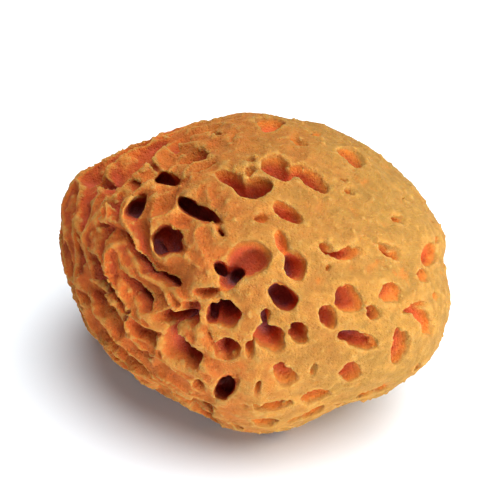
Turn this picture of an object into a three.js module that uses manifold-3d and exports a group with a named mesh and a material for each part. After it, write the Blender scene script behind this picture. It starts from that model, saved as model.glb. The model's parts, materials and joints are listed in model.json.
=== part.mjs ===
// A natural honeycomb sea sponge: one rounded, many-holed body that rests on the flat cut where it left its rock.
// Millimetres, +Z up, the table at z = 0, +X to the right as the photograph shows it, and -Y towards the viewer.
import * as THREE from "three";
import { mergeVertices } from "three/addons/utils/BufferGeometryUtils.js";
import Module from "manifold-3d";

// The body's driving dimensions
const LENGTH = 140; // from the left tip to the right tip
const HALF_DEPTH = 59; // along the line of sight, from the outline to the nearest point
const CENTRE_HEIGHT = 48; // of the body's middle above the table, so the lowest few millimetres are cut away
const LEAN_ACROSS = 0.12; // how far the right end comes forward, for each millimetre to the right
const LEAN_UP = -0.135; // how far the top goes back, for each millimetre up the picture
const MIDDLE_BACK = -0.9; // how far the middle lies behind the origin, so that the footprint is centred on it
const LUMP_HEIGHT = 2.2; // of the broad swellings on the parts that the outline leaves free
const SWELLING = { across: 3.1, up: 2.7, startAcross: 1.3, startUp: -0.6 }; // waves per radian of the ball
const RIPPLE = { across: 3.4, up: 5.2, share: 0.6 };
const BODY_DETAIL = 6; // how finely the icosahedron under the body is divided

// How the photograph looks at it
const VIEW_ELEVATION = THREE.MathUtils.degToRad(35);
const EYE_DISTANCE = 700;
const PICTURE_CENTRE = [250, 250];
const BODY_CENTRE = [251, 271];
const OUTLINE_WIDTH = 392; // in pixels, the length of the sponge
const MM_PER_PIXEL = LENGTH / OUTLINE_WIDTH;

// The outline in the photograph, counter-clockwise from the right, as columns and rows where it bends
const OUTLINE = [
  [441, 268], [443, 236], [425, 203], [383, 159], [333, 129], [288, 116], [240, 112], [190, 122], [138, 138],
  [92, 160], [62, 188], [55, 225], [62, 275], [84, 325], [125, 372], [176, 401], [225, 424], [262, 431],
  [305, 420], [343, 402], [388, 386], [430, 353], [447, 305],
];

// Each opening as the photograph shows it: column and row of its middle, length and width in pixels, turn of its
// long side from level in degrees, and depth in millimetres
const SEEN_OPENINGS = [
  [167, 241, 36, 30, 5, 22],
  [198, 210, 46, 15, -27, 20],
  [166, 179, 30, 13, -15, 16],
  [137, 208, 28, 18, 75, 18],
  [88, 182, 26, 15, 58, 10],
  [125, 249, 56, 15, -57, 14],
  [126, 293, 54, 12, -54, 16],
  [158, 280, 38, 12, -20, 12],
  [174, 135, 32, 10, 18, 7],
  [190, 152, 34, 12, 8, 8],
  [91, 246, 34, 9, 78, 8],
  [119, 180, 36, 9, 80, 7],
  [77, 262, 42, 13, 88, 9],
  [79, 309, 32, 11, -70, 8],
  [134, 358, 32, 13, -20, 5],
  [231, 178, 36, 13, -25, 12],
  [253, 186, 36, 17, 4, 20],
  [277, 165, 34, 19, -36, 12],
  [311, 176, 42, 13, -37, 11],
  [268, 123, 25, 14, -3, 10],
  [286, 210, 28, 13, -32, 10],
  [326, 247, 17, 10, -52, 8],
  [296, 265, 28, 19, -80, 12],
  [247, 260, 46, 32, 12, 16],
  [229, 280, 26, 20, 60, 18],
  [220, 268, 16, 12, -60, 26],
  [353, 156, 34, 13, -35, 8],
  [350, 252, 30, 12, 6, 7],
  [391, 252, 26, 11, -40, 6],
  [431, 255, 24, 18, 75, 11],
  [424, 276, 15, 12, 20, 9],
  [283, 297, 31, 21, -38, 34],
  [349, 300, 28, 24, -60, 18],
  [393, 295, 22, 18, 40, 9],
  [374, 313, 18, 12, -55, 13],
  [417, 309, 26, 9, 20, 6],
  [427, 322, 32, 14, -62, 8],
  [328, 318, 24, 17, -60, 12],
  [360, 342, 40, 15, -15, 13],
  [401, 348, 38, 18, 82, 13],
  [299, 334, 22, 17, -65, 16],
  [266, 315, 12, 10, 70, 14],
  [270, 339, 32, 27, -40, 16],
  [249, 351, 18, 9, 85, 7],
  [284, 376, 22, 21, 0, 9],
  [351, 374, 20, 19, 0, 13],
  [317, 398, 33, 13, 24, 9],
  [272, 407, 36, 11, 3, 10],
  [226, 390, 24, 20, 70, 24],
  [222, 314, 32, 26, 0, 17],
  [212, 312, 24, 10, 80, 24],
  [165, 321, 28, 13, -3, 13],
  [186, 317, 34, 22, 70, 7],
  [205, 293, 28, 10, -3, 5],
  [178, 352, 44, 22, -56, 15],
  [226, 349, 21, 19, 20, 12],
  [198, 387, 14, 12, -20, 7],
];

// The openings of the sides that the photograph doesn't show follow a spiral over the whole body
const SPIRAL_COUNT = 196;
const SPIRAL_TURN = Math.PI * (3 - Math.sqrt(5));
const SPIRAL_JITTER = 0.17; // how far each may stray, on a ball of radius 1
const FRONT_EDGE = 0.1; // how far round the photograph's own openings reach, as the sine of the angle
const UNDER_EDGE = 0.5; // the same at the bottom of the picture, where they stop sooner
const CLEAR_OF_SEEN = 10; // from the middle of each opening that the photograph shows
const HIDDEN_LENGTH = [7, 14]; // shortest and longest, in millimetres
const HIDDEN_WIDTH = [0.5, 0.95]; // as a share of the length
const HIDDEN_DEPTH = [8, 20];
const SHORT_ONES = 1.2; // above 1, short openings are more common than long ones
const GROOVED_END = -28; // to the left of this the openings are grooves, as on the end that the photograph shows
const GROOVE_WIDTH = [0.32, 0.6];
const GROOVE_TURN = THREE.MathUtils.degToRad(42); // how far a groove may lean from upright
const SEED = { across: 0, up: 500, turn: 1000, length: 1500, width: 2000, depth: 2500 };
const REST_PAD = 15; // no opening is nearer than this to the middle of the flat cut

// The channels run towards one point between the body's middle and the eye
const CHANNELS_MEET = 22; // in front of the middle
const MOST_DRIFT = 0.75; // the most that a channel moves sideways, for each millimetre in

// An opening's section: how wide it is, as a share of its mouth, at each share of its depth
const FLARE_ABOVE = 3; // the cutting tool stands this far out of the skin
const FLARE_WIDTH = 1.45;
const SEEN_SECTION = [[0.84, 0.3], [0.52, 0.82]];
const HIDDEN_SECTION = [[0.66, 0.7]];
const SEEN_SIDES = 7;
const HIDDEN_SIDES = 5;
const LEAST_FACING = 0.34; // the limit to how far an opening near the outline is stretched round it
const WIDEST_REACH = 0.985; // an opening on the outline itself is placed this share of the way out

// The view's own directions: across, up the picture, and towards the eye
const ACROSS = new THREE.Vector3(1, 0, 0);
const UP = new THREE.Vector3(0, Math.sin(VIEW_ELEVATION), Math.cos(VIEW_ELEVATION));
const TOWARDS = new THREE.Vector3(0, -Math.cos(VIEW_ELEVATION), Math.sin(VIEW_ELEVATION));
const MIDDLE = new THREE.Vector3(0, MIDDLE_BACK, CENTRE_HEIGHT);

// The outline as angles and distances from the body's middle
const outlinePolar = OUTLINE.map(([column, row]) => {
  const x = (column - BODY_CENTRE[0]) * MM_PER_PIXEL;
  const y = (BODY_CENTRE[1] - row) * MM_PER_PIXEL;
  return { angle: Math.atan2(y, x), radius: Math.hypot(x, y) };
}).sort((a, b) => a.angle - b.angle);

// The outline's distance from the middle at any angle: a cubic through the points, closed on itself
function outlineRadius(angle) {
  const n = outlinePolar.length;
  const at = (i) => {
    const lap = Math.floor(i / n);
    const { angle, radius } = outlinePolar[i - lap * n];
    return { angle: angle + lap * 2 * Math.PI, radius };
  };
  let i = -1;
  while (i + 1 < n && at(i + 1).angle <= angle) i += 1;
  const [before, start, end, after] = [at(i - 1), at(i), at(i + 1), at(i + 2)];
  const span = end.angle - start.angle;
  const t = (angle - start.angle) / span;
  const slopeIn = ((end.radius - before.radius) / (end.angle - before.angle)) * span;
  const slopeOut = ((after.radius - start.radius) / (after.angle - start.angle)) * span;
  return start.radius * (2 * t ** 3 - 3 * t ** 2 + 1) + slopeIn * (t ** 3 - 2 * t ** 2 + t)
    + end.radius * (3 * t ** 2 - 2 * t ** 3) + slopeOut * (t ** 3 - t ** 2);
}

// A slow wave over the body that lifts and lowers it, and is nothing at the outline
function lump(ball) {
  const swelling = Math.sin(SWELLING.across * ball.x + SWELLING.startAcross)
    * Math.cos(SWELLING.up * ball.y + SWELLING.startUp);
  const ripple = RIPPLE.share * Math.sin(RIPPLE.up * ball.y + RIPPLE.across * ball.x);
  return LUMP_HEIGHT * (swelling + ripple) * ball.z;
}

// The skin: where a point of the unit ball comes to lie. The ball's x, y and z are across, up and towards the eye
function skin(ball) {
  const radius = outlineRadius(Math.atan2(ball.y, ball.x));
  const x = ball.x * radius;
  const y = ball.y * radius;
  const depth = HALF_DEPTH * ball.z + lump(ball) + LEAN_ACROSS * x + LEAN_UP * y;
  return MIDDLE.clone().addScaledVector(ACROSS, x).addScaledVector(UP, y).addScaledVector(TOWARDS, depth);
}

// The skin's outward direction at a point of the ball
function skinNormal(ball) {
  const step = 0.02;
  const side = new THREE.Vector3(0, 0, 1).cross(ball);
  if (side.length() < 1e-3) side.set(1, 0, 0);
  side.normalize();
  const over = ball.clone().cross(side);
  const along = (d, s) => skin(ball.clone().addScaledVector(d, s).normalize());
  const a = along(side, step).sub(along(side, -step));
  const b = along(over, step).sub(along(over, -step));
  return a.cross(b).normalize();
}

// The point of the ball whose skin shows at a pixel of the photograph
function ballAtPixel(column, row) {
  const offset = [BODY_CENTRE[0] - PICTURE_CENTRE[0], PICTURE_CENTRE[1] - BODY_CENTRE[1]];
  const ball = new THREE.Vector3();
  let nearness = 0;
  for (let round = 0; round < 6; round += 1) {
    const scale = (MM_PER_PIXEL * (EYE_DISTANCE - nearness)) / EYE_DISTANCE;
    const x = (column - PICTURE_CENTRE[0]) * scale - offset[0] * MM_PER_PIXEL;
    const y = (PICTURE_CENTRE[1] - row) * scale - offset[1] * MM_PER_PIXEL;
    const angle = Math.atan2(y, x);
    const reach = Math.min(WIDEST_REACH, Math.hypot(x, y) / outlineRadius(angle));
    ball.set(reach * Math.cos(angle), reach * Math.sin(angle), Math.sqrt(1 - reach ** 2));
    nearness = skin(ball).sub(MIDDLE).dot(TOWARDS);
  }
  return ball;
}

// How far a channel moves along the skin for each millimetre in, on its way to the point where the channels meet
function channelDrift(place, normal) {
  const inward = MIDDLE.clone().addScaledVector(TOWARDS, CHANNELS_MEET).sub(place).normalize();
  const drift = inward.divideScalar(Math.max(LEAST_FACING, -inward.dot(normal))).add(normal);
  drift.addScaledVector(normal, -drift.dot(normal));
  return drift.clampLength(0, MOST_DRIFT);
}

// An opening as the photograph shows it, laid onto the skin along the line of sight
function seenOpening([column, row, length, width, turn, depth]) {
  const ball = ballAtPixel(column, row);
  const normal = skinNormal(ball);
  const facing = Math.max(LEAST_FACING, normal.dot(TOWARDS));
  const angle = THREE.MathUtils.degToRad(turn);
  const halfAxis = (size, a) => {
    const flat = new THREE.Vector3().addScaledVector(ACROSS, Math.cos(a)).addScaledVector(UP, Math.sin(a));
    flat.multiplyScalar((size / 2) * MM_PER_PIXEL);
    return flat.addScaledVector(TOWARDS, -normal.dot(flat) / facing);
  };
  return {
    middle: skin(ball),
    normal,
    long: halfAxis(length, angle),
    short: halfAxis(width, angle + Math.PI / 2),
    depth,
    section: SEEN_SECTION,
    sides: SEEN_SIDES,
  };
}

// A number from 0 to 1 that looks random and is the same each time
function chance(seed) {
  const wave = Math.sin(seed * 12.9898) * 43758.5453;
  return wave - Math.floor(wave);
}

const between = ([low, high], share) => low + (high - low) * share;

const seenOpenings = SEEN_OPENINGS.map(seenOpening);

// Whether the photograph shows this part of the skin and its openings
function isSeen(ball) {
  const edge = FRONT_EDGE + (UNDER_EDGE - FRONT_EDGE) * Math.max(0, -ball.y) ** 2;
  const place = skin(ball);
  return ball.z > edge || seenOpenings.some(({ middle }) => middle.distanceTo(place) < CLEAR_OF_SEEN);
}

// An opening of the spiral over the other sides, or null in the part that shows and in the middle of the flat cut
function hiddenOpening(index) {
  const z = 1 - (2 * index + 1) / SPIRAL_COUNT;
  const ring = Math.sqrt(1 - z * z);
  const ball = new THREE.Vector3(ring * Math.cos(index * SPIRAL_TURN), ring * Math.sin(index * SPIRAL_TURN), z);
  ball.x += SPIRAL_JITTER * (chance(index + SEED.across) - 0.5);
  ball.y += SPIRAL_JITTER * (chance(index + SEED.up) - 0.5);
  ball.normalize();
  const middle = skin(ball);
  if (isSeen(ball) || middle.length() < REST_PAD) return null;
  const normal = skinNormal(ball);
  const level = new THREE.Vector3(-normal.y, normal.x, 0);
  if (level.length() < 0.2) level.copy(ACROSS).addScaledVector(normal, -normal.x);
  level.normalize();
  const steep = normal.clone().cross(level);
  const grooved = middle.x < GROOVED_END;
  const lean = chance(index + SEED.turn);
  const turn = grooved ? Math.PI / 2 + (2 * lean - 1) * GROOVE_TURN : lean * Math.PI;
  const length = between(HIDDEN_LENGTH, chance(index + SEED.length) ** SHORT_ONES);
  const width = length * between(grooved ? GROOVE_WIDTH : HIDDEN_WIDTH, chance(index + SEED.width));
  const halfAxis = (size, angle) => level.clone().multiplyScalar((Math.cos(angle) * size) / 2)
    .addScaledVector(steep, (Math.sin(angle) * size) / 2);
  return {
    middle,
    normal,
    long: halfAxis(length, turn),
    short: halfAxis(width, turn + Math.PI / 2),
    depth: between(HIDDEN_DEPTH, chance(index + SEED.depth)),
    section: HIDDEN_SECTION,
    sides: HIDDEN_SIDES,
  };
}

// The closed tool that cuts one opening: a funnel, turned on a lathe, then squeezed to the opening's oval and leant
function openingTool({ middle, normal, long, short, depth, section, sides }) {
  const profile = [
    new THREE.Vector2(0, -depth),
    ...section.map(([share, down]) => new THREE.Vector2(share, -down * depth)).reverse(),
    new THREE.Vector2(FLARE_WIDTH, FLARE_ABOVE),
    new THREE.Vector2(0, FLARE_ABOVE),
  ];
  const outward = normal.clone().sub(channelDrift(middle, normal));
  const tool = new THREE.LatheGeometry(profile, sides);
  tool.applyMatrix4(new THREE.Matrix4().makeBasis(long, outward, short.clone().negate()).setPosition(middle));
  return tool;
}

const wasm = await Module();
wasm.setup();

function solidFrom(geometry) {
  const bare = geometry.clone();
  bare.deleteAttribute("normal");
  bare.deleteAttribute("uv");
  const merged = mergeVertices(bare, 1e-3);
  return new wasm.Manifold(new wasm.Mesh({
    numProp: 3,
    vertProperties: new Float32Array(merged.attributes.position.array),
    triVerts: new Uint32Array(merged.index.array),
  }));
}

function geometryFrom(solid) {
  const { vertProperties, triVerts } = solid.getMesh();
  const geometry = new THREE.BufferGeometry();
  geometry.setAttribute("position", new THREE.BufferAttribute(vertProperties, 3));
  geometry.setIndex(new THREE.BufferAttribute(triVerts, 1));
  geometry.computeVertexNormals();
  return geometry;
}

// The body before its openings: a finely divided ball, each point moved to the skin
function bodyGeometry() {
  const ball = new THREE.IcosahedronGeometry(1, BODY_DETAIL);
  const position = ball.attributes.position;
  const point = new THREE.Vector3();
  for (let i = 0; i < position.count; i += 1) {
    point.fromBufferAttribute(position, i).normalize();
    position.setXYZ(i, ...skin(point).toArray());
  }
  return ball;
}

// Everything under the table, for the flat cut
function underTable() {
  const size = 2 * LENGTH;
  return new THREE.BoxGeometry(size, size, size).translate(0, 0, -size / 2);
}

function spongeSolid() {
  const hidden = Array.from({ length: SPIRAL_COUNT }, (_, index) => hiddenOpening(index)).filter(Boolean);
  const openings = [...seenOpenings, ...hidden];
  const tools = openings.map((opening) => solidFrom(openingTool(opening)));
  const body = solidFrom(bodyGeometry()).subtract(solidFrom(underTable()));
  const cut = body.subtract(tools.reduce((all, tool) => all.add(tool)));
  return cut.decompose().sort((a, b) => b.volume() - a.volume())[0];
}

const sponge = new THREE.Mesh(
  geometryFrom(spongeSolid()),
  new THREE.MeshStandardMaterial({ color: 0xd99a4a, roughness: 0.95, metalness: 0 }),
);
sponge.name = "sponge";

const model = new THREE.Group();
model.add(sponge);

export default model;
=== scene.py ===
# %% [markdown]
# # A honeycomb sea sponge
# A honeycomb sponge is the skeleton of a sea animal: one piece of springy tissue, about 14 cm long here,
# with round openings where the water left it and long grooves at one end. The frame holds its plain faceted
# solid at the real size. This lesson grows the fine surface in the same place, so that one can stand for
# the other.

# %% Load the frame
import json
import math
import time

import bmesh
import bpy
import numpy as np
from mathutils import Matrix, Vector, noise

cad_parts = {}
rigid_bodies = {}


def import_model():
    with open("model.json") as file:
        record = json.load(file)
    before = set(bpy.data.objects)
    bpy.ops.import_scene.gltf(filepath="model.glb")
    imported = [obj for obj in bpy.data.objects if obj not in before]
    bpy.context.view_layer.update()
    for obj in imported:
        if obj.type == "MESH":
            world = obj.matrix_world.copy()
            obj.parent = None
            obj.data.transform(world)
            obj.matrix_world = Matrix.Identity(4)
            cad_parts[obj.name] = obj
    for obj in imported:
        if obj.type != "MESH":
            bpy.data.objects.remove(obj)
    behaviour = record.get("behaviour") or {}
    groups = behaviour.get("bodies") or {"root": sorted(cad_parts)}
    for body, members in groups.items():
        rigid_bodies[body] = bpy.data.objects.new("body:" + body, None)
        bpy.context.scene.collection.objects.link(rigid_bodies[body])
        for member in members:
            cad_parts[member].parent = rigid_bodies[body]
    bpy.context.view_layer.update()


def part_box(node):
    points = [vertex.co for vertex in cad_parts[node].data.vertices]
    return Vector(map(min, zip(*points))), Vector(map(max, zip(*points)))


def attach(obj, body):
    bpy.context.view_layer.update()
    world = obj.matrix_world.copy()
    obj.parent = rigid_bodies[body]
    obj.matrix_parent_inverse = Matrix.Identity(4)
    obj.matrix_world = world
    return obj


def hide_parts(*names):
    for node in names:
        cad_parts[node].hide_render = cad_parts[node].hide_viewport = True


MM = 0.001
started = time.time()
# The noise below starts from the clock unless it has a seed, and the sponge has to grow the same each time.
NOISE_SEED = 3
noise.seed_set(NOISE_SEED)
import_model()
sponge_low, sponge_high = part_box("sponge")
length = sponge_high.x - sponge_low.x
print("the sponge's length is", round(length / MM, 1), "mm")

# %% [markdown]
# ## Where the photograph was taken from
# The camera comes first, because the openings below are placed by the pixels in which the photograph shows
# them. It could be aimed with a constraint. A matrix made of three directions is used instead, because the
# same three directions then carry every pixel to its place on the sponge. The outline is 392 pixels long
# and the sponge is 140 mm long, which gives the size of a pixel at the sponge's middle.

# %% Camera
REAL_LENGTH = 140 * MM
OUTLINE_WIDTH = 392
PIXEL = REAL_LENGTH / OUTLINE_WIDTH
PHOTO_SIZE = 500
PICTURE_CENTRE = (250, 250)
BODY_CENTRE = (251, 271)
VIEW_ELEVATION = math.radians(35)
EYE_DISTANCE = 0.7
SENSOR_WIDTH = 36
CLIP_NEAR, CLIP_FAR = 0.05, 20
CENTRE_HEIGHT = 48 * MM
MIDDLE_BACK = -0.9 * MM

across = np.array([1.0, 0.0, 0.0])
up = np.array([0.0, math.sin(VIEW_ELEVATION), math.cos(VIEW_ELEVATION)])
towards = np.array([0.0, -math.cos(VIEW_ELEVATION), math.sin(VIEW_ELEVATION)])
view_axes = np.array([across, up, towards])
middle = np.array([0.0, MIDDLE_BACK, CENTRE_HEIGHT])
body_offset = np.array([BODY_CENTRE[0] - PICTURE_CENTRE[0], PICTURE_CENTRE[1] - BODY_CENTRE[1]]) * PIXEL


def add_camera():
    """A camera that sees the sponge at the photograph's angle, size and place in the picture."""
    data = bpy.data.cameras.new("camera")
    data.sensor_width = SENSOR_WIDTH
    data.lens = SENSOR_WIDTH * EYE_DISTANCE / (PHOTO_SIZE * PIXEL)
    data.clip_start, data.clip_end = CLIP_NEAR, CLIP_FAR
    camera = bpy.data.objects.new("camera", data)
    aim = middle - across * body_offset[0] - up * body_offset[1]
    place = Matrix((across, up, towards)).transposed().to_4x4()
    place.translation = Vector(aim + towards * EYE_DISTANCE)
    camera.matrix_world = place
    bpy.context.scene.collection.objects.link(camera)
    bpy.context.scene.camera = camera
    return data.lens


print("lens", round(add_camera(), 1), "mm")

# %% [markdown]
# ## The outline
# A real sponge swells evenly round its rock, so its form without the openings is a smooth egg. It could be
# sculpted, or grown from metaballs. Here it is a formula, because the same formula then says where each
# opening sits and how deep any point lies. It starts with the outline: points read from the photograph,
# joined by a cubic.

# %% Outline
OUTLINE = [
    (441, 268), (443, 236), (425, 203), (383, 159), (333, 129), (288, 116), (240, 112), (190, 122),
    (138, 138), (92, 160), (62, 188), (55, 225), (62, 275), (84, 325), (125, 372), (176, 401),
    (225, 424), (262, 431), (305, 420), (343, 402), (388, 386), (430, 353), (447, 305),
]


def polar_outline():
    """The outline's points as angles and distances from the middle, with a lap added before and after."""
    offsets = [((c - BODY_CENTRE[0]) * PIXEL, (BODY_CENTRE[1] - r) * PIXEL) for c, r in OUTLINE]
    polar = sorted((math.atan2(y, x), math.hypot(x, y)) for x, y in offsets)
    laps = [(angle + lap * math.tau, radius) for lap in (-1, 0, 1) for angle, radius in polar]
    return np.array(laps).T


outline_angles, outline_radii = polar_outline()


def outline_radius(angle):
    """The outline's distance from the middle at each angle: a cubic through the points."""
    i = np.searchsorted(outline_angles, angle, side="right") - 1
    a0, a1, a2, a3 = (outline_angles[i + k] for k in (-1, 0, 1, 2))
    r0, r1, r2, r3 = (outline_radii[i + k] for k in (-1, 0, 1, 2))
    span = a2 - a1
    t = (angle - a1) / span
    slope_in = (r2 - r0) / (a2 - a0) * span
    slope_out = (r3 - r1) / (a3 - a1) * span
    rise = r1 * (2 * t**3 - 3 * t**2 + 1) + r2 * (3 * t**2 - 2 * t**3)
    return rise + slope_in * (t**3 - 2 * t**2 + t) + slope_out * (t**3 - t**2)


nearest_edge, furthest_edge = outline_radii.min() / MM, outline_radii.max() / MM
print("the outline's distance goes from", round(nearest_edge, 1), "to", round(furthest_edge, 1), "mm")

# %% [markdown]
# ## The skin
# One depth along the line of sight turns the outline into a body, which leans a little and carries slow
# lumps, as every grown thing does. The formula moves the points of a ball, because a ball has no seams or
# poles to hide and its points are easy to name: a direction is all it takes.

# %% Skin
HALF_DEPTH = 59 * MM
LEAN_ACROSS = 0.12
LEAN_UP = -0.135
LUMP_HEIGHT = 2.2 * MM
SWELLING_ACROSS, SWELLING_UP, SWELLING_STARTS = 3.1, 2.7, (1.3, -0.6)
RIPPLE_ACROSS, RIPPLE_UP, RIPPLE_SHARE = 3.4, 5.2, 0.6
NORMAL_STEP = 0.02
TINY = 1e-6


def lump(ball):
    """A slow wave over the body, which is nothing at the outline."""
    x, y, z = ball.T
    across_wave = np.sin(SWELLING_ACROSS * x + SWELLING_STARTS[0])
    up_wave = np.cos(SWELLING_UP * y + SWELLING_STARTS[1])
    ripple = RIPPLE_SHARE * np.sin(RIPPLE_UP * y + RIPPLE_ACROSS * x)
    return LUMP_HEIGHT * (across_wave * up_wave + ripple) * z


def skin(ball):
    """Where the points of the unit ball come to lie on the sponge."""
    radius = outline_radius(np.arctan2(ball[:, 1], ball[:, 0]))
    x, y = ball[:, 0] * radius, ball[:, 1] * radius
    depth = HALF_DEPTH * ball[:, 2] + lump(ball) + LEAN_ACROSS * x + LEAN_UP * y
    return middle + np.column_stack([x, y, depth]) @ view_axes


def unit(vectors):
    """The same directions with a length of 1."""
    return vectors / np.linalg.norm(vectors, axis=-1, keepdims=True)


def skin_normal(ball):
    """The skin's outward directions at points of the ball, from a short step each way."""
    side = unit(np.cross([0.0, 0.0, 1.0], ball) + [TINY, 0, 0])
    over = np.cross(ball, side)
    a = skin(unit(ball + side * NORMAL_STEP)) - skin(unit(ball - side * NORMAL_STEP))
    b = skin(unit(ball + over * NORMAL_STEP)) - skin(unit(ball - over * NORMAL_STEP))
    return unit(np.cross(a, b))


def ball_of(points):
    """The points of the ball that lie in the same directions as points given in the frame."""
    x, y, depth = ((points - middle) @ view_axes.T).T
    radius = outline_radius(np.arctan2(y, x))
    height = (depth - LEAN_ACROSS * x - LEAN_UP * y) / HALF_DEPTH
    return unit(np.column_stack([x / radius, y / radius, height]))


def depth_below_skin(points):
    """How far each point lies from the skin, towards the middle."""
    to_skin = np.linalg.norm(skin(ball_of(points)) - middle, axis=1)
    return to_skin - np.linalg.norm(points - middle, axis=1)


scattered = skin(unit(np.random.default_rng(1).normal(size=(9000, 3))))
print("the skin measures", (np.ptp(scattered, axis=0) / MM).round(1), "mm")

# %% [markdown]
# ## Where the openings are
# The openings of a sponge are the mouths of its channels. They could be scattered by chance, but then the
# sponge would be some sponge and not this one. So each opening is read from the photograph, and a
# line of sight through its middle finds the place on the skin.

# %% The openings that the photograph shows
# Each entry holds the column and the row of the middle, the length and the width in pixels, the turn of the
# long side in degrees, and in millimetres how deep the opening looks.
SEEN_OPENINGS = [
    (167, 241, 34, 28, 5, 24), (198, 210, 46, 15, -27, 23), (166, 179, 30, 13, -15, 23),
    (137, 208, 26, 17, 75, 23), (88, 182, 26, 15, 58, 10), (125, 251, 52, 12, -57, 16),
    (126, 293, 50, 11, -54, 21), (158, 280, 38, 12, -20, 12), (174, 135, 34, 12, 18, 9),
    (188, 150, 40, 18, 8, 11), (91, 236, 44, 7, 84, 8), (119, 180, 36, 9, 80, 7),
    (79, 272, 64, 10, -86, 7), (90, 324, 30, 9, -58, 8), (134, 358, 32, 13, -20, 5),
    (231, 178, 38, 16, -22, 12), (253, 186, 38, 18, 4, 20), (278, 167, 37, 24, -36, 12),
    (311, 176, 44, 16, -37, 11), (270, 122, 29, 17, -3, 11), (287, 211, 32, 15, -32, 9.6),
    (326, 247, 17, 10, -52, 8), (296, 265, 28, 19, -80, 12), (247, 260, 46, 32, 12, 7.6),
    (229, 280, 26, 20, 60, 18), (220, 268, 16, 12, -60, 26), (353, 155, 33, 17, -35, 9.6),
    (350, 252, 30, 12, 6, 7), (391, 252, 26, 11, -40, 6), (431, 255, 24, 18, 75, 11),
    (424, 276, 15, 12, 20, 9), (283, 297, 31, 21, -38, 34), (349, 300, 27, 23, -60, 14),
    (393, 295, 22, 18, 40, 9), (374, 313, 18, 12, -55, 13), (417, 309, 26, 9, 20, 6),
    (427, 322, 32, 14, -62, 8), (328, 318, 24, 17, -60, 12), (360, 342, 40, 15, -15, 13),
    (401, 348, 38, 18, 82, 13), (299, 334, 22, 17, -65, 16), (266, 315, 12, 10, 70, 14),
    (270, 339, 32, 27, -40, 16), (249, 351, 18, 9, 85, 7), (284, 376, 22, 21, 0, 9),
    (351, 374, 20, 19, 0, 13), (317, 398, 33, 13, 24, 9), (272, 407, 36, 11, 3, 10),
    (226, 390, 24, 20, 70, 24), (222, 314, 32, 26, 0, 17), (212, 312, 24, 10, 80, 24),
    (165, 321, 29, 15, -3, 19), (186, 317, 34, 22, 70, 7), (205, 293, 28, 10, -3, 5),
    (178, 354, 46, 25, -56, 20), (226, 350, 25, 22, 20, 13), (198, 387, 14, 12, -20, 7),
]
# These are too small or too narrow for the faceted solid and are in the fine surface only.
SMALL_OPENINGS = [
    (95, 203, 50, 9, 48, 9), (214, 130, 16, 8, -10, 4), (203, 164, 26, 5, 25, 5),
    (137, 160, 22, 6, -5, 5), (74, 200, 26, 7, 85, 6), (221, 231, 15, 5, -55, 8),
    (67, 250, 60, 6, 88, 6), (96, 284, 30, 6, 88, 8), (108, 326, 24, 6, -85, 8),
    (118, 322, 24, 6, 76, 9), (144, 341, 20, 6, -58, 8), (251, 170, 10, 9, 0, 4),
    (251, 159, 9, 5, 0, 6), (330, 267, 8, 6, 80, 6), (354, 267, 6, 5, 0, 5),
    (283, 242, 26, 12, -60, 4), (261, 217, 14, 12, 0, 3), (318, 132, 11, 8, 0, 4),
    (352, 190, 13, 6, -10, 4), (373, 187, 7, 3, -5, 4), (407, 199, 6, 4, 0, 4),
    (399, 219, 15, 8, -20, 2.5), (286, 381, 8, 6, 70, 16), (314, 369, 15, 6, 62, 6),
    (257, 390, 13, 7, 80, 9), (296, 422, 18, 6, 20, 4), (193, 353, 8, 4, 70, 8),
    (208, 343, 15, 5, -66, 9), (155, 370, 8, 7, 0, 5), (310, 305, 7, 3, -10, 3),
    (159, 201, 24, 7, 80, 5), (233, 136, 15, 4, 75, 3), (353, 169, 5, 4, 0, 3),
    (346, 179, 12, 3, -15, 2.5), (361, 287, 5, 4, 0, 3), (381, 296, 6, 4, 60, 4),
    (244, 407, 7, 5, 20, 3), (374, 278, 6, 3, 20, 2), (300, 141, 22, 5, -30, 2),
    (341, 226, 4, 3, 0, 2), (383, 391, 15, 8, 10, 7), (342, 404, 11, 7, 30, 5),
    (361, 396, 7, 5, 40, 4), (437, 296, 10, 6, 80, 4), (440, 240, 8, 5, 70, 3),
    (419, 366, 12, 6, 40, 5),
]
WIDEST_REACH = 0.985
SIGHT_ROUNDS = 6


def ball_at_pixel(column, row):
    """The point of the ball whose skin shows at a pixel.

    What is nearer the camera looks larger, so each round uses the nearness that the round before found.
    """
    nearness = 0.0
    for _ in range(SIGHT_ROUNDS):
        shrink = (EYE_DISTANCE - nearness) / EYE_DISTANCE
        x = (column - PICTURE_CENTRE[0]) * PIXEL * shrink - body_offset[0]
        y = (PICTURE_CENTRE[1] - row) * PIXEL * shrink - body_offset[1]
        angle = math.atan2(y, x)
        reach = min(WIDEST_REACH, math.hypot(x, y) / float(outline_radius(np.array([angle]))[0]))
        ball = np.array([[reach * math.cos(angle), reach * math.sin(angle), math.sqrt(1 - reach**2)]])
        nearness = float((skin(ball)[0] - middle) @ towards)
    return ball


first_place = skin(ball_at_pixel(*SEEN_OPENINGS[0][:2]))[0]
print("the first opening lies at", (first_place / MM).round(1), "mm")

# %% [markdown]
# ## Which way the channels run
# Inside a real sponge the channels lead to each other. Straight holes along the skin's direction would show
# lit walls on every side, which looks drilled. So a channel heads for the place where the channels meet, a
# shallow one is scooped towards it, and the deepest run straight away from the camera, because they look
# dark all over.

# %% Openings on the skin
LEAST_FACING = 0.34
CHANNELS_MEET = 22 * MM
MOST_DRIFT = 0.8
SCOOP_DEPTH = 9.5 * MM
SCOOP_LEAN = 1.7
STRAIGHT_DEPTH = 23 * MM
STRAIGHT_CUT = 14 * MM
STRAIGHT_FACING = 0.1
NARROWING, STRAIGHT_NARROWING = 0.45, 0.2


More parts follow.
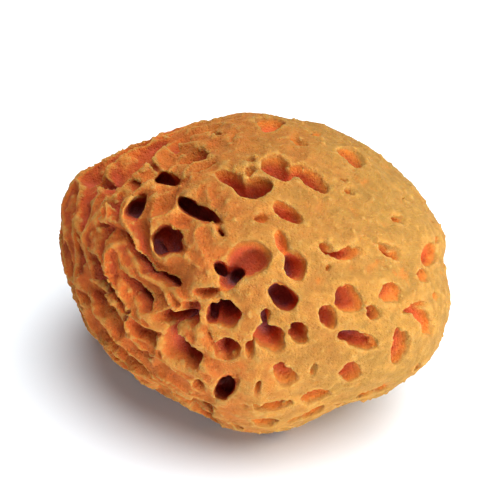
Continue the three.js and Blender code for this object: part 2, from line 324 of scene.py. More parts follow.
def channel_drift(place, normal, depth):
    """How far a channel moves along the skin for each step in."""
    if depth >= STRAIGHT_DEPTH:
        return normal - towards / max(STRAIGHT_FACING, float(towards @ normal))
    inward = unit(middle + towards * CHANNELS_MEET - place)
    drift = inward / max(LEAST_FACING, -float(inward @ normal)) + normal
    drift -= normal * float(drift @ normal)
    return drift * min(1.0, MOST_DRIFT / max(TINY, float(np.linalg.norm(drift))))


def opening_at(ball, normal, long_half, short_half, depth):
    """An opening's place, its two half axes along the skin, and the channel behind it."""
    place = skin(ball)[0]
    drift = channel_drift(place, normal, depth) * (SCOOP_LEAN if depth < SCOOP_DEPTH else 1.0)
    narrowing = NARROWING
    if depth >= STRAIGHT_DEPTH:
        depth, narrowing = STRAIGHT_CUT, STRAIGHT_NARROWING
    return {"place": place, "normal": normal, "long": long_half, "short": short_half, "depth": depth,
            "drift": drift, "narrowing": narrowing}


def seen_opening(column, row, long_size, short_size, turn, depth):
    """An opening laid onto the skin along the line of sight."""
    ball = ball_at_pixel(column, row)
    normal = skin_normal(ball)[0]
    facing = max(LEAST_FACING, float(normal @ towards))

    def half_axis(size, angle):
        flat = (across * math.cos(angle) + up * math.sin(angle)) * size / 2 * PIXEL
        return flat - towards * float(normal @ flat) / facing

    angle = math.radians(turn)
    long_half = half_axis(long_size, angle)
    short_half = half_axis(short_size, angle + math.pi / 2)
    return opening_at(ball, normal, long_half, short_half, depth * MM)


main_openings = [seen_opening(*row) for row in SEEN_OPENINGS]
small_openings = [seen_opening(*row) for row in SMALL_OPENINGS]
print(len(main_openings), "openings show in the photograph, and", len(small_openings), "small ones")

# %% [markdown]
# ## The other sides
# The photograph shows one side, and a honeycomb sponge is much the same all round. Pure chance would leave
# clumps and bare skin, so the other openings follow a spiral that spaces them evenly, and each strays from
# it a little. The left end keeps its long grooves all round, and the cut that the sponge rests on stays
# whole in the middle.

# %% The openings of the other sides
SPIRAL_COUNT = 196
SPIRAL_TURN = math.pi * (3 - math.sqrt(5))
SPIRAL_JITTER = 0.17
FRONT_EDGE, UNDER_EDGE = 0.1, 0.5
CLEAR_OF_SEEN = 10 * MM
HIDDEN_LENGTH = (7 * MM, 14 * MM)
HIDDEN_WIDTH = (0.5, 0.95)
HIDDEN_DEPTH = (8 * MM, 20 * MM)
SHORT_ONES = 1.2
GROOVED_END = -28 * MM
GROOVE_WIDTH = (0.32, 0.6)
GROOVE_TURN = math.radians(42)
REST_PAD = 15 * MM
LEVEL_ENOUGH = 0.2
CHANCE_STEP, CHANCE_SPREAD = 12.9898, 43758.5453
DRAWS_APART = 500


def chance(seed):
    """A number from 0 to 1 that looks random and is the same each time."""
    wave = math.sin(seed * CHANCE_STEP) * CHANCE_SPREAD
    return wave - math.floor(wave)


def draws_for(index, count):
    """Several numbers from 0 to 1 for the opening of this number."""
    return [chance(index + DRAWS_APART * draw) for draw in range(count)]


def between(limits, share):
    """The value that lies a share of the way from the first limit to the second."""
    return limits[0] + (limits[1] - limits[0]) * share


def is_seen(ball):
    """Whether the photograph shows this part of the skin and its openings."""
    edge = FRONT_EDGE + (UNDER_EDGE - FRONT_EDGE) * max(0.0, -ball[0, 1]) ** 2
    place = skin(ball)[0]
    gaps = [np.linalg.norm(opening["place"] - place) for opening in main_openings]
    return ball[0, 2] > edge or min(gaps) < CLEAR_OF_SEEN


def level_direction(normal):
    """A direction along the skin that is level, or one across the body where the skin itself is level."""
    level = np.array([-normal[1], normal[0], 0.0])
    return unit(level if np.linalg.norm(level) >= LEVEL_ENOUGH else across - normal * normal[0])


def hidden_opening(index):
    """The spiral's opening of this number, or nothing where the skin shows in the photograph or is cut."""
    stray_across, stray_up, lean, long_draw, short_draw, depth_draw = draws_for(index, 6)
    z = 1 - (2 * index + 1) / SPIRAL_COUNT
    ring = math.sqrt(1 - z * z)
    ball = np.array([[ring * math.cos(index * SPIRAL_TURN), ring * math.sin(index * SPIRAL_TURN), z]])
    ball[0, 0] += SPIRAL_JITTER * (stray_across - 0.5)
    ball[0, 1] += SPIRAL_JITTER * (stray_up - 0.5)
    ball = unit(ball)
    place = skin(ball)[0]
    if is_seen(ball) or np.linalg.norm(place) < REST_PAD:
        return None
    normal = skin_normal(ball)[0]
    level = level_direction(normal)
    steep = np.cross(normal, level)
    grooved = place[0] < GROOVED_END
    turn = math.pi / 2 + (2 * lean - 1) * GROOVE_TURN if grooved else lean * math.pi
    long_size = between(HIDDEN_LENGTH, long_draw**SHORT_ONES)
    short_size = long_size * between(GROOVE_WIDTH if grooved else HIDDEN_WIDTH, short_draw)
    long_half = (level * math.cos(turn) + steep * math.sin(turn)) * long_size / 2
    short_half = (steep * math.cos(turn) - level * math.sin(turn)) * short_size / 2
    return opening_at(ball, normal, long_half, short_half, between(HIDDEN_DEPTH, depth_draw))


hidden_openings = [opening for opening in map(hidden_opening, range(SPIRAL_COUNT)) if opening]
openings = main_openings + small_openings + hidden_openings
print(len(hidden_openings), "openings on the other sides")

# %% [markdown]
# ## Dishes round the openings
# Round each mouth the tissue sinks towards it, most of all at the grooved end. A bevel on the cut edge
# could round the lips, but it can't sink the skin round them. So each opening presses a shallow dish into
# the skin, and where two dishes meet they leave a crest.

# %% Dishes
DISH_MARGIN = (0.9 * MM, 2.4 * MM)
DISH_SINK = (0.3 * MM, 4.2 * MM)
DISH_SHIFT = 1.5 * MM
DISH_POWER = 0.9
SINK_TO_WIDTH = 1.4
GROOVED_FROM, GROOVED_TO = 0 * MM, -42 * MM


def smooth_step(low, high, value):
    """0 up to the low end, 1 from the high end on, and a soft rise between them."""
    share = np.clip((value - low) / (high - low), 0, 1)
    return share * share * (3 - 2 * share)


def dish_depth(points):
    """How far the skin sinks at each point: the deepest of the dishes that reach it."""
    deepest = np.zeros(len(points))
    for opening in openings:
        grooved = float(smooth_step(GROOVED_FROM, GROOVED_TO, opening["place"][0]))
        margin = between(DISH_MARGIN, grooved)
        half_length, half_width = np.linalg.norm(opening["long"]), np.linalg.norm(opening["short"])
        sink = min(between(DISH_SINK, grooved), SINK_TO_WIDTH * half_width, opening["depth"])
        reach = half_length + margin + DISH_SHIFT
        offset = points - opening["place"]
        near = np.flatnonzero((offset**2).sum(axis=1) < reach**2)
        offset = offset[near] + opening["drift"] * DISH_SHIFT
        along = offset @ opening["long"] / half_length / (half_length + margin)
        beside = offset @ opening["short"] / half_width / (half_width + margin)
        share = np.clip(1 - along**2 - beside**2, 0, 1)
        deepest[near] = np.maximum(deepest[near], sink * share**DISH_POWER)
    return deepest


print("the dishes sink the scattered points by up to", round(dish_depth(scattered).max() / MM, 1), "mm")

# %% [markdown]
# ## Crests of the grooved end
# At its left end the sponge grew in long folds with sharp crests. Plain noise gives soft hills, and its
# zero lines give even rings. Stretched cells are used instead: a point lies on a crest where two cells are
# equally near, so the crests are sharp, they branch, and they run round the end as the real ones do.

# %% Crests
RIDGE_POLE = (265, 215)
RIDGE_SPACING = 10.5 * MM
RIDGE_LENGTH = 42 * MM
RIDGE_SINK = (0.4 * MM, 6.2 * MM)
RIDGE_STEEPNESS = 1.9
RIDGE_POWER = 0.75
RIDGE_WANDER = 0.7
WANDER_SIZE = 17 * MM
BALL_SIZE = 58 * MM


def ridge_depth(ball, points):
    """Long valleys between sharp crests that ring the grooved end, and a faint relief like it elsewhere."""
    pole = ball_at_pixel(*RIDGE_POLE)[0]
    along_pole = ball @ pole
    from_pole = np.arccos(np.clip(along_pole, -1, 1)) * BALL_SIZE / RIDGE_SPACING
    around = (ball - along_pole[:, None] * pole) * BALL_SIZE / RIDGE_LENGTH
    places = around + from_pole[:, None] * pole
    places += np.array([noise.noise_vector(point / WANDER_SIZE) for point in points]) * RIDGE_WANDER
    nearest, second = np.array([noise.voronoi(place)[0][:2] for place in places]).T
    grooved = smooth_step(GROOVED_FROM, GROOVED_TO, points[:, 0])
    from_crest = np.minimum(1, (second - nearest) * RIDGE_STEEPNESS)
    return between(RIDGE_SINK, grooved) * from_crest**RIDGE_POWER


def sink_of(ball, points):
    """How far the skin sinks at each point, as a dish or as a valley, whichever is deeper."""
    return np.maximum(dish_depth(points), ridge_depth(ball, points))


print("the valleys sink the scattered points by up to",
      round(ridge_depth(ball_of(scattered), scattered).max() / MM, 1), "mm")

# %% [markdown]
# ## The body without openings
# A sphere of rings and segments would crowd its faces at two poles. An icosphere spreads them evenly, so
# the dishes and crests come out equally sharp all over. Its points are moved to the skin, less the sink at
# each.

# %% Body
BODY_FINENESS = 8


def new_object(name, bm):
    """An object in the scene, made from a bmesh, which is used up."""
    mesh = bpy.data.meshes.new(name)
    bm.to_mesh(mesh)
    bm.free()
    made = bpy.data.objects.new(name, mesh)
    bpy.context.scene.collection.objects.link(made)
    return made


def points_of(mesh):
    """The mesh's points as rows of three numbers."""
    flat = np.empty(len(mesh.vertices) * 3)
    mesh.vertices.foreach_get("co", flat)
    return flat.reshape(-1, 3)


def normals_of(mesh):
    """The outward direction at each point of the mesh."""
    flat = np.empty(len(mesh.vertices) * 3)
    mesh.vertex_normals.foreach_get("vector", flat)
    return flat.reshape(-1, 3)


def move_points(mesh, points):
    """Moves every point of the mesh to its new place."""
    mesh.vertices.foreach_set("co", points.ravel())
    mesh.update()


sphere = bmesh.new()
bmesh.ops.create_icosphere(sphere, subdivisions=BODY_FINENESS, radius=1)
sponge = new_object("sea_sponge", sphere)
ball_points = unit(points_of(sponge.data))
skin_points = skin(ball_points)
move_points(sponge.data, skin_points - skin_normal(ball_points) * sink_of(ball_points, skin_points)[:, None])
print("body:", len(sponge.data.polygons), "faces,", round(time.time() - started, 1), "s")

# %% [markdown]
# ## One cutting tool
# Each channel is a funnel with a wavering mouth. A cylinder would cut a drilled hole. A ball drawn out
# along the channel has no edge to leave a mark, and one formula narrows it, flares its mouth, lays a ramp
# on the side that it leans away from, wavers its section and bends it, so that no two mouths are alike.

# %% Tool form
TOOL_SEGMENTS, TOOL_RINGS = 28, 18
FLARE_ABOVE = 3 * MM
MOUTH_FLARE = (0.05, 0.4)
NARROWING_POWER = 1.1
FULL_WIDTH_FROM = 0.5
RAMP_WIDTH = 0.5
RAMP_FADE = 5
TOOL_WAVES = (0.11, 0.34)
WAVE_COUNTS = (2, 3, 4, 5, 7)
LEAST_WAVE = 0.3
WAVE_TWIST = 1.5
WAVE_TURN_SEED = 7
BEND = 0.5
BEND_SEEDS = (31, 37)

template = bmesh.new()
bmesh.ops.create_uvsphere(template, u_segments=TOOL_SEGMENTS, v_segments=TOOL_RINGS, radius=1)
tool_mesh = bpy.data.meshes.new("tool")
template.to_mesh(tool_mesh)
template.free()
tool_points = points_of(tool_mesh)


def ramp_share(opening, angle, down):
    """How much wider the mouth is at each angle, on the side that the channel leans away from."""
    ramp_along = -float(opening["drift"] @ unit(opening["long"]))
    ramp_beside = -float(opening["drift"] @ unit(opening["short"]))
    ramp_side = np.maximum(0, np.cos(angle - math.atan2(ramp_beside, ramp_along)))
    return RAMP_WIDTH * ramp_side**2 * np.exp(-RAMP_FADE * down) * math.hypot(ramp_along, ramp_beside)


def tool_width(opening, seed, ring, angle, height, down):
    """The tool's width at each of its points, as a share of the opening's half axes."""
    grooved = float(smooth_step(GROOVED_FROM, GROOVED_TO, opening["place"][0]))
    width = (1 - opening["narrowing"] * down**NARROWING_POWER) * np.minimum(1, ring / FULL_WIDTH_FROM)
    width *= 1 + between(MOUTH_FLARE, grooved) * np.maximum(0, height) / FLARE_ABOVE
    width *= 1 + ramp_share(opening, angle, down)
    for k in WAVE_COUNTS:
        size = between(TOOL_WAVES, grooved) / k * (LEAST_WAVE + chance(seed + k))
        wave_turn = math.tau * chance(seed + WAVE_TURN_SEED * k)
        width *= 1 + size * np.cos(k * angle + wave_turn + WAVE_TWIST * down)
    return width


def shaped_tool(opening, seed):
    """The ball's points moved to one opening's tool."""
    x, y, z = tool_points.T
    angle = np.arctan2(y, x)
    depth = opening["depth"]
    height = (z + 1) / 2 * (depth + FLARE_ABOVE) - depth
    down = np.maximum(0, -height) / depth
    width = tool_width(opening, seed, np.hypot(x, y), angle, height, down)
    bend_long, bend_short = (BEND * (chance(seed + bend_seed) - 0.5) for bend_seed in BEND_SEEDS)
    along = np.cos(angle) * width + bend_long * down**2
    beside = np.sin(angle) * width + bend_short * down**2
    outward = opening["normal"] - opening["drift"]
    on_skin = opening["place"] + along[:, None] * opening["long"] + beside[:, None] * opening["short"]
    return on_skin + height[:, None] * outward


print("one tool has", len(tool_points), "points")

# %% [markdown]
# ## All the tools as one cutter
# Where channels meet, their tools cross, and a boolean needs one closed body. Joining them one after the
# other would take hundreds of booleans. A voxel remesh turns the whole crowd into one closed skin in a
# single step.

# %% Cutter
TOOL_VOXEL = 0.6 * MM
FIRST_SEED = 40


def apply_modifier(piece, kind, **settings):
    """Adds one modifier with its settings and replaces the piece's mesh by the result."""
    modifier = piece.modifiers.new(kind.lower(), kind)
    for key, value in settings.items():
        setattr(modifier, key, value)
    before = piece.data
    piece.data = bpy.data.meshes.new_from_object(piece.evaluated_get(bpy.context.evaluated_depsgraph_get()))
    piece.modifiers.clear()
    bpy.data.meshes.remove(before)
    print(f"{kind.lower()}: {len(piece.data.polygons)} faces, {time.time() - started:.1f} s")


tools = bmesh.new()
for number, opening in enumerate(openings):
    move_points(tool_mesh, shaped_tool(opening, FIRST_SEED + number))
    tools.from_mesh(tool_mesh)
bmesh.ops.recalc_face_normals(tools, faces=tools.faces)
cutter = new_object("cutter", tools)
apply_modifier(cutter, "REMESH", mode="VOXEL", voxel_size=TOOL_VOXEL)

# %% [markdown]
# ## Cutting the openings
# The cutter is taken from the body. A boolean leaves knife edges, and living tissue has none, so a fine
# even mesh is laid over the result and smoothed once, which rounds the lips and gives the next step points
# to move everywhere.

# %% Cut and remesh
SPONGE_VOXEL = 0.52 * MM
SMOOTHING = 0.5
apply_modifier(sponge, "BOOLEAN", operation="DIFFERENCE", object=cutter, solver="MANIFOLD")
bpy.data.objects.remove(cutter)
apply_modifier(sponge, "REMESH", mode="VOXEL", voxel_size=SPONGE_VOXEL)
apply_modifier(sponge, "SMOOTH", factor=SMOOTHING, iterations=1)

# %% [markdown]
# ## Roughening the surface
# The skin of a dry sponge is felted and carries small points where its fibres end. A bump in the shader
# gives no rough outline, so the larger grain is in the mesh: a push along smooth noise bends every form a
# little, and noise and the points stand out along the normals. Deep in the channels nothing is raised,
# where no one sees it.

# %% Roughen
# Each row holds a size, a strength, and an offset that gives the row its own part of the noise.
WARPS = ((11 * MM, 1.1 * MM, 3.0), (4.0 * MM, 0.3 * MM, 17.0))
GRAINS = ((2.3 * MM, 0.26 * MM, 41.0), (1.3 * MM, 0.22 * MM, 71.0))
GRAIN_REACH = (3 * MM, 9 * MM)
CONULE_SPACING = 5.5 * MM
CONULE_HEIGHT = 1.1 * MM
CONULE_WIDTH = 0.3
CONULE_POWER = 1.5


def conules(points):
    """The small points in which a sponge's fibres end: one to each cell, tallest at its middle."""
    nearest = np.array([noise.voronoi(place)[0][0] for place in points / CONULE_SPACING])
    return CONULE_HEIGHT * np.maximum(0, 1 - nearest / CONULE_WIDTH) ** CONULE_POWER


def roughen(piece):
    """Pushes every point with smooth noise, so that no form stays regular, then along its normal."""
    points, normals = points_of(piece.data), normals_of(piece.data)
    push = np.zeros_like(points)
    for size, strength, offset in WARPS:
        push += np.array([noise.noise_vector(place) for place in points / size + offset]) * strength
    stand_out = np.zeros(len(points))
    for size, strength, offset in GRAINS:
        stand_out += np.array([noise.noise(place) for place in points / size + offset]) * strength
    stand_out += conules(points)
    stand_out *= 1 - smooth_step(*GRAIN_REACH, depth_below_skin(points))
    move_points(piece.data, points + push + normals * stand_out[:, None])
    return stand_out


raised = roughen(sponge) / MM
print("the grain stands from", raised.min().round(2), "to", raised.max().round(2), "mm")

# %% [markdown]
# ## Thinning the mesh
# The remesh makes far more faces than a piece may have. A coarser voxel would blur the lips along with the
# rest. A decimate modifier keeps the faces where the form turns, and a vertex group spares the skin, which
# is seen, more than the channels' ends, which aren't.

# %% Thin
MOST_TRIANGLES = 194000
SPARED_TO = (4 * MM, 9 * MM)
LEAST_WEIGHT = 0.5
SPARING = 4e-6
triangles = sum(len(face.vertices) - 2 for face in sponge.data.polygons)
group = sponge.vertex_groups.new(name="thinned")
thinned = between((LEAST_WEIGHT, 1.0), smooth_step(*SPARED_TO, depth_below_skin(points_of(sponge.data))))
for index, weight in enumerate(thinned.tolist()):
    group.add((index,), weight, "REPLACE")
apply_modifier(sponge, "DECIMATE", ratio=min(1.0, MOST_TRIANGLES / triangles), vertex_group="thinned",
               vertex_group_factor=SPARING)

# %% [markdown]
# ## The flat cut
# A diver's knife leaves a flat face where the sponge sat on its rock, and it rests on that face. Moving the
# low points up to the table would smear the openings there. A block below the table cuts them off clean
# instead.

# %% Flat cut
under = bmesh.new()
bmesh.ops.create_cube(under, size=2 * length)
bmesh.ops.translate(under, verts=under.verts, vec=(0, 0, -length))
under_floor = new_object("under_floor", under)
apply_modifier(sponge, "BOOLEAN", operation="DIFFERENCE", object=under_floor, solver="MANIFOLD")
bpy.data.objects.remove(under_floor)

# %% [markdown]
# ## Loose crumbs
# Where two channels nearly touch, a scrap of wall can come loose, and nothing would hold it in a real
# sponge. The edges are followed from point to point, which finds every separate body, and all but the
# largest are deleted.

# %% Loose crumbs


def island_of(start, seen):
    """Every vertex joined to the first one by edges, which are marked as seen."""
    seen.add(start)
    island = [start]
    for vert in island:
        for edge in vert.link_edges:
            other = edge.other_vert(vert)
            if other not in seen:
                seen.add(other)
                island.append(other)
    return island


def keep_largest_island(piece):
    """Removes the crumbs that the cuts left loose."""
    bm = bmesh.new()
    bm.from_mesh(piece.data)
    seen = set()
    islands = [island_of(vert, seen) for vert in bm.verts if vert not in seen]
    islands.sort(key=len)
    crumbs = [vert for island in islands[:-1] for vert in island]
    bmesh.ops.delete(bm, geom=crumbs, context="VERTS")
    bm.to_mesh(piece.data)
    bm.free()
    print(len(islands) - 1, "crumbs removed, of", len(crumbs), "vertices in all")


keep_largest_island(sponge)
sponge.data.shade_smooth()

# %% [markdown]
# ## What the colour follows
# The sponge is golden on its skin, and the shade in its hollows and channels, the highlights on its crests
# and lips and the glow of light through its thin walls are painted into the colour. A painted texture would
# need a seam and would not know the form. The form is measured instead: how deep each point lies inside an
# opening, and how far it lies in a valley or on a crest of its own neighbourhood. The shader reads both as
# attributes.

# %% Measure depth and crests
FINE_ROUNDS, BROAD_ROUNDS = 4, 30
SHARES = (5, 25, 50, 75, 95)


def crest_height(mesh, rounds):
    """How far each point stands out of the same surface smoothed: above 0 on crests, below 0 in valleys."""
    points, normals = points_of(mesh), normals_of(mesh)
    ends = np.empty(len(mesh.edges) * 2, dtype=np.int32)
    mesh.edges.foreach_get("vertices", ends)
    start, end = ends.reshape(-1, 2).T
    count = np.bincount(ends, minlength=len(points))[:, None]
    smoothed = points.copy()
    for _ in range(rounds):
        total = np.zeros_like(points)
        for axis in range(3):
            total[:, axis] = (np.bincount(start, smoothed[end, axis], len(points))
                              + np.bincount(end, smoothed[start, axis], len(points)))
        smoothed = (smoothed + total / count) / 2
    return ((points - smoothed) * normals).sum(axis=1)


def depth_in_opening(points):
    """How far each point lies below the sunk skin."""
    ball = ball_of(points)
    return depth_below_skin(points) - sink_of(ball, skin(ball))


def set_attribute(mesh, name, metres):
    """Stores a measure at every point, in millimetres."""
    values = metres / MM
    attribute = mesh.attributes.new(name, "FLOAT", "POINT")
    attribute.data.foreach_set("value", values.astype(np.float32))
    print(name, "in mm:", np.percentile(values, SHARES).round(2))


set_attribute(sponge.data, "inside", depth_in_opening(points_of(sponge.data)))
set_attribute(sponge.data, "fine_crest", crest_height(sponge.data, FINE_ROUNDS))
set_attribute(sponge.data, "broad_crest", crest_height(sponge.data, BROAD_ROUNDS))

# %% [markdown]
# ## Helpers for the shader
# A shader is a tree of nodes, and wiring each one by hand takes four lines. These helpers make one node
# with its settings and inputs in a single call, so that the colours below read as a recipe.

# %% Node helpers


def add_node(tree, kind, inputs=None, **settings):
    """A node with its settings made and its inputs given as values or as other nodes' outputs."""
    made = tree.nodes.new(kind)
    for key, value in settings.items():
        setattr(made, key, value)
    for key, value in (inputs or {}).items():
        if isinstance(value, bpy.types.NodeSocket):
            tree.links.new(value, made.inputs[key])
        else:
            made.inputs[key].default_value = value
    return made


def ramp(tree, value, low, high, to_low=0.0, to_high=1.0):
    """A value taken smoothly from one range to another."""
    inputs = {"Value": value, "From Min": low, "From Max": high, "To Min": to_low, "To Max": to_high}
    return add_node(tree, "ShaderNodeMapRange", inputs, interpolation_type="SMOOTHSTEP").outputs["Result"]


def blend(tree, share, first, second):
    """A colour between two colours."""
    made = add_node(tree, "ShaderNodeMix", data_type="RGBA")
    # The mix node has sockets of every kind under the same names, and 6, 7 and 2 are those for colours.
    for socket, value in ((made.inputs["Factor"], share), (made.inputs[6], first), (made.inputs[7], second)):
        if isinstance(value, bpy.types.NodeSocket):
            tree.links.new(value, socket)
        else:
            socket.default_value = (*value, 1)
    return made.outputs[2]


def combine(tree, operation, first, second):
    """Two values added, multiplied and so on."""
    return add_node(tree, "ShaderNodeMath", {0: first, 1: second}, operation=operation).outputs[0]


def stored(tree, name):
    """A measure stored at every point, as a value."""
    return add_node(tree, "ShaderNodeAttribute", attribute_name=name).outputs["Fac"]


def noise_value(tree, place, size, detail=3.0, roughness=0.55):
    """Smooth noise from 0 to 1 with hills of about the given size."""
    inputs = {"Vector": place, "Scale": 1 / size, "Detail": detail, "Roughness": roughness}
    return add_node(tree, "ShaderNodeTexNoise", inputs).outputs["Fac"]


material = bpy.data.materials.new("sponge")
material.use_nodes = True
tree = material.node_tree
shader = tree.nodes["Principled BSDF"]
place = add_node(tree, "ShaderNodeTexCoord").outputs["Object"]
print("the new material has", len(tree.nodes), "nodes")

# %% [markdown]
# ## The colour of the tissue, with painted light and shade
# The right end of this sponge is golden and the left end orange, partly the tissue's own colour and partly
# painted shade, the saturated orange of the shaded left end. Crests and lips are painted paler as
# highlights, valleys and the left end's mouths are painted a darker orange as shade, the right end's mouths
# and walls are painted amber and red as the glow of light that has passed through thin tissue, and the left
# end's walls and the deepest walls are painted darker and maroon as shade. The ramps are wide and their edge
# wanders, because nothing on a sponge changes at a line.

# %% Colour
GOLD = (0.415, 0.208, 0.042)
# Partly the tissue's own orange and partly painted shade: the saturated orange of the shaded left end.
ORANGE_AND_PAINTED_SHADE = (0.61, 0.137, 0.021)
# A painted highlight: pale rims on the lips of the openings.
PAINTED_LIP_HIGHLIGHT = (0.52, 0.305, 0.080)
# A painted highlight: paler gold on the crests.
PAINTED_CREST_HIGHLIGHT = (0.55, 0.258, 0.049)
# Painted shade: the darker orange of the left end's valleys and mouths.
PAINTED_HOLLOW_SHADE = (0.48, 0.080, 0.017)
# Painted light: the bright amber glow of light through thin tissue on the right end's ramps and mouths.
PAINTED_AMBER_GLOW = (0.66, 0.195, 0.027)
# Painted light: the red glow of light through the thin walls of the right end's channels.
PAINTED_WALL_GLOW = (0.76, 0.140, 0.042)
# Painted shade on the walls of the left end's channels.
PAINTED_WALL_SHADE = (0.54, 0.080, 0.034)
# Painted shade: dark maroon deep in the channels.
PAINTED_DEEP_SHADE = (0.50, 0.150, 0.160)

# Where the left end passes into the right one, along the length.
SKIN_TURNS = (-48 * MM, 42 * MM)
SHADE_TO_GLOW_TURN = (-45 * MM, 5 * MM)
LIP_HIGHLIGHT_TURN = (-45 * MM, 10 * MM)
WALL_SHADE_TO_GLOW = (-35 * MM, 15 * MM)
PATCH_SIZE = 22 * MM
PATCH_RANGE = (0.3, 0.7)
PATCH_SHIFT = (-12 * MM, 12 * MM)

# In millimetres, as the attributes are.
VALLEY_DEPTHS, VALLEY_SHADE_SHARE = (0.0, -0.9), 0.9
CREST_HEIGHTS, CREST_HIGHLIGHT_SHARE = (0.1, 0.9), 0.7
LIP_HEIGHTS, LIP_HIGHLIGHT_SHARES = (0.05, 0.4), (0.45, 0.75)
MOUTH_DEPTHS = (0.5, 2.0)
WALL_DEPTHS = (1.6, 5.5)
DEEP_DEPTHS = (6.5, 13.0)

MOTTLE_SIZE = 3.2 * MM
MOTTLE_DETAIL = 5.0
MOTTLE_VALUE = (0.86, 1.1)

inside = stored(tree, "inside")
fine = stored(tree, "fine_crest")
broad = stored(tree, "broad_crest")
from_left = add_node(tree, "ShaderNodeSeparateXYZ", {0: place}).outputs["X"]
patches = ramp(tree, noise_value(tree, place, PATCH_SIZE), *PATCH_RANGE, *PATCH_SHIFT)
wandering = combine(tree, "ADD", from_left, patches)

# Orange at the left end to gold at the right: partly the tissue's own colour, partly painted shade on the
# left end.
colour = blend(tree, ramp(tree, wandering, *SKIN_TURNS), ORANGE_AND_PAINTED_SHADE, GOLD)
# Painted shade for hollows at the left end, and a painted glow of light through tissue at the right end.
painted_shade_and_glow = blend(tree, ramp(tree, wandering, *SHADE_TO_GLOW_TURN), PAINTED_HOLLOW_SHADE, PAINTED_AMBER_GLOW)
# Valleys painted darker as shade.
colour = blend(tree, ramp(tree, broad, *VALLEY_DEPTHS, 0.0, VALLEY_SHADE_SHARE), colour, painted_shade_and_glow)
# Mouths painted with the same shade and glow.
colour = blend(tree, ramp(tree, inside, *MOUTH_DEPTHS), colour, painted_shade_and_glow)
# Crests painted paler as highlights.
colour = blend(tree, ramp(tree, broad, *CREST_HEIGHTS, 0.0, CREST_HIGHLIGHT_SHARE), colour, PAINTED_CREST_HIGHLIGHT)
# Lips painted pale as highlights, weaker at the left end.
lip_highlight_strength = ramp(tree, wandering, *LIP_HIGHLIGHT_TURN, *LIP_HIGHLIGHT_SHARES)
painted_lip_mask = combine(tree, "MULTIPLY", ramp(tree, fine, *LIP_HEIGHTS), lip_highlight_strength)
colour = blend(tree, painted_lip_mask, colour, PAINTED_LIP_HIGHLIGHT)
# Channel walls painted with shade at the left end and with the glow of light through tissue at the right.
painted_wall_light = blend(tree, ramp(tree, wandering, *WALL_SHADE_TO_GLOW), PAINTED_WALL_SHADE, PAINTED_WALL_GLOW)
colour = blend(tree, ramp(tree, inside, *WALL_DEPTHS), colour, painted_wall_light)
# Deep in the channels the walls are painted maroon as shade.
colour = blend(tree, ramp(tree, inside, *DEEP_DEPTHS), colour, PAINTED_DEEP_SHADE)
mottle = ramp(tree, noise_value(tree, place, MOTTLE_SIZE, MOTTLE_DETAIL), *PATCH_RANGE, *MOTTLE_VALUE)
colour = add_node(tree, "ShaderNodeHueSaturation", {"Color": colour, "Value": mottle}).outputs["Color"]
tree.links.new(colour, shader.inputs["Base Color"])
print("with its colour it has", len(tree.nodes), "nodes")

# %% [markdown]
# ## The felt of the tissue
# Spongin fibre is matt, and thin walls of it glow orange when light comes through. The fibres are finer
# than half a millimetre, so as a mesh they would take millions of faces. A bump of noise and small pits
# stands for them, the roughness is high, and the shader scatters light under the surface, red the furthest.

# %% Felt
FELT_SIZE = 0.75 * MM
FELT_DETAIL = 6.0
FELT_ROUGHNESS = 0.75
PIT_SPACING = 1.15 * MM
PIT_RANGE = (0.05, 0.55)
PIT_DEPTH = 0.45
BUMP_HEIGHT = 1.0 * MM
ROUGHNESS = 0.92
SPECULAR = 0.2
SCATTER_WEIGHT = 0.5
SCATTER_RADIUS = (1.0, 0.34, 0.1)
SCATTER_SCALE = 3 * MM

pits = add_node(tree, "ShaderNodeTexVoronoi", {"Vector": place, "Scale": 1 / PIT_SPACING, "Randomness": 1.0})
pitted = combine(tree, "MULTIPLY", ramp(tree, pits.outputs["Distance"], *PIT_RANGE), PIT_DEPTH)
felt = combine(tree, "ADD", noise_value(tree, place, FELT_SIZE, FELT_DETAIL, FELT_ROUGHNESS), pitted)
bump = add_node(tree, "ShaderNodeBump", {"Height": felt, "Distance": BUMP_HEIGHT, "Strength": 1.0})
tree.links.new(bump.outputs["Normal"], shader.inputs["Normal"])
shader.inputs["Roughness"].default_value = ROUGHNESS
shader.inputs["Specular IOR Level"].default_value = SPECULAR
shader.inputs["Subsurface Weight"].default_value = SCATTER_WEIGHT
shader.inputs["Subsurface Radius"].default_value = SCATTER_RADIUS
shader.inputs["Subsurface Scale"].default_value = SCATTER_SCALE
sponge.data.materials.clear()
sponge.data.materials.append(material)
print("the finished material has", len(tree.nodes), "nodes")

# %% [markdown]
# ## The floor
# The photograph's ground is a white sweep of paper. A curved sweep shows its bend in some views, and a
# large flat floor doesn't. It is a little blue, which takes back the warm light that the sponge throws on
# it.

# %% Floor
FLOOR_SIZE = 6
FLOOR_COLOUR = (0.90, 0.95, 0.99)
FLOOR_ROUGHNESS = 0.8

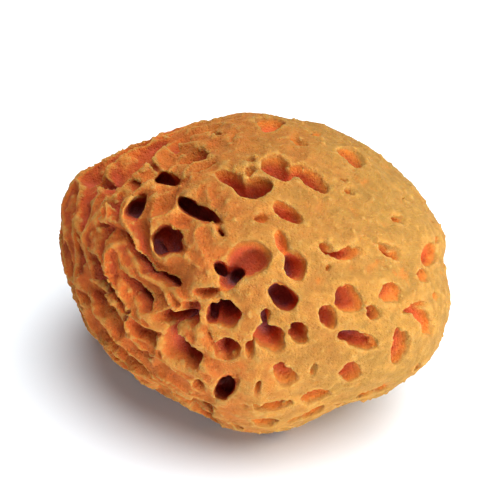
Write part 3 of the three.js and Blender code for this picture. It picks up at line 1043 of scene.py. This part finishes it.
floor_mesh = bmesh.new()
bmesh.ops.create_grid(floor_mesh, x_segments=1, y_segments=1, size=FLOOR_SIZE)
floor = new_object("floor", floor_mesh)
floor_material = bpy.data.materials.new("floor")
floor_material.use_nodes = True
floor_shader = floor_material.node_tree.nodes["Principled BSDF"]
floor_shader.inputs["Base Color"].default_value = (*FLOOR_COLOUR, 1)
floor_shader.inputs["Roughness"].default_value = FLOOR_ROUGHNESS
floor.data.materials.append(floor_material)
print("the floor is", 2 * FLOOR_SIZE, "m wide")

# %% [markdown]
# ## The light
# The shadow in the photograph is soft and lies to the left, so a wide light stands high at the right. A sun
# is used for it, because its light is even over the whole floor. A broad lamp low in front opens the shades
# under the lips, and a faint white world fills the rest.

# %% Light
LIT_POINT = (0, 0, 0.04)
SUN_PLACE, SUN_STRENGTH, SUN_WIDTH = (0.35, -0.1, 0.93), 5.15, math.radians(70)
FRONT_PLACE, FRONT_POWER, FRONT_SIZE = (0.6, -0.98, 0.14), 13, (0.4, 0.2)
WORLD_STRENGTH = 0.04


def add_light(name, kind, place, energy, **settings):
    """A light that is turned towards the sponge."""
    data = bpy.data.lights.new(name, kind)
    data.energy = energy
    for key, value in settings.items():
        setattr(data, key, value)
    light = bpy.data.objects.new(name, data)
    light.location = place
    light.rotation_euler = (Vector(LIT_POINT) - Vector(place)).to_track_quat("-Z", "Y").to_euler()
    bpy.context.scene.collection.objects.link(light)


add_light("overhead", "SUN", SUN_PLACE, SUN_STRENGTH, angle=SUN_WIDTH)
add_light("front", "AREA", FRONT_PLACE, FRONT_POWER, shape="RECTANGLE", size=FRONT_SIZE[0],
          size_y=FRONT_SIZE[1])
world = bpy.data.worlds.new("world")
world.use_nodes = True
world.node_tree.nodes["Background"].inputs["Color"].default_value = (1, 1, 1, 1)
world.node_tree.nodes["Background"].inputs["Strength"].default_value = WORLD_STRENGTH
bpy.context.scene.world = world
bpy.context.scene.view_settings.view_transform = "Standard"
print(len(bpy.data.lights), "lights")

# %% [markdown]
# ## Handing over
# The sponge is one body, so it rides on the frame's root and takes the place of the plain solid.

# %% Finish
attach(sponge, "root")
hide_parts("sponge")
